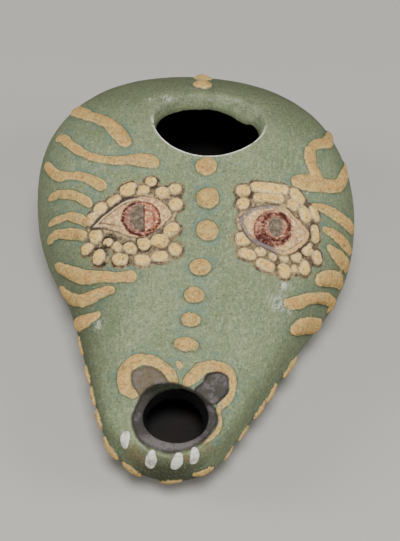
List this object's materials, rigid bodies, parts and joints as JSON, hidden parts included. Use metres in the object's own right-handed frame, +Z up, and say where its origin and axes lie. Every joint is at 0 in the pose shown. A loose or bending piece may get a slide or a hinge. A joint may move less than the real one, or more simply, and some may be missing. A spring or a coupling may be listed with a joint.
{
  "type": "oil lamp",
  "caption": "Hollow fired clay oil lamp of slipper shape, painted as a beast's face, with a filling hole on top and a wick hole at the nozzle.",
  "frame": {"origin": "middle of the bounding box, on the flat underside that the lamp stands on", "axes": "+Z up, -Y towards the nozzle and its wick hole, +Y towards the rounded back, +X to the right as the nozzle's side is looked at"},
  "size_m": [0.0658, 0.1061, 0.0351],
  "materials": {
    "painted_clay": "matt grey-green and cream paint on fired clay, worn at the edges"
  },
  "bodies": {
    "root": {"lamp_body": "painted_clay"}
  },
  "joints": []
}
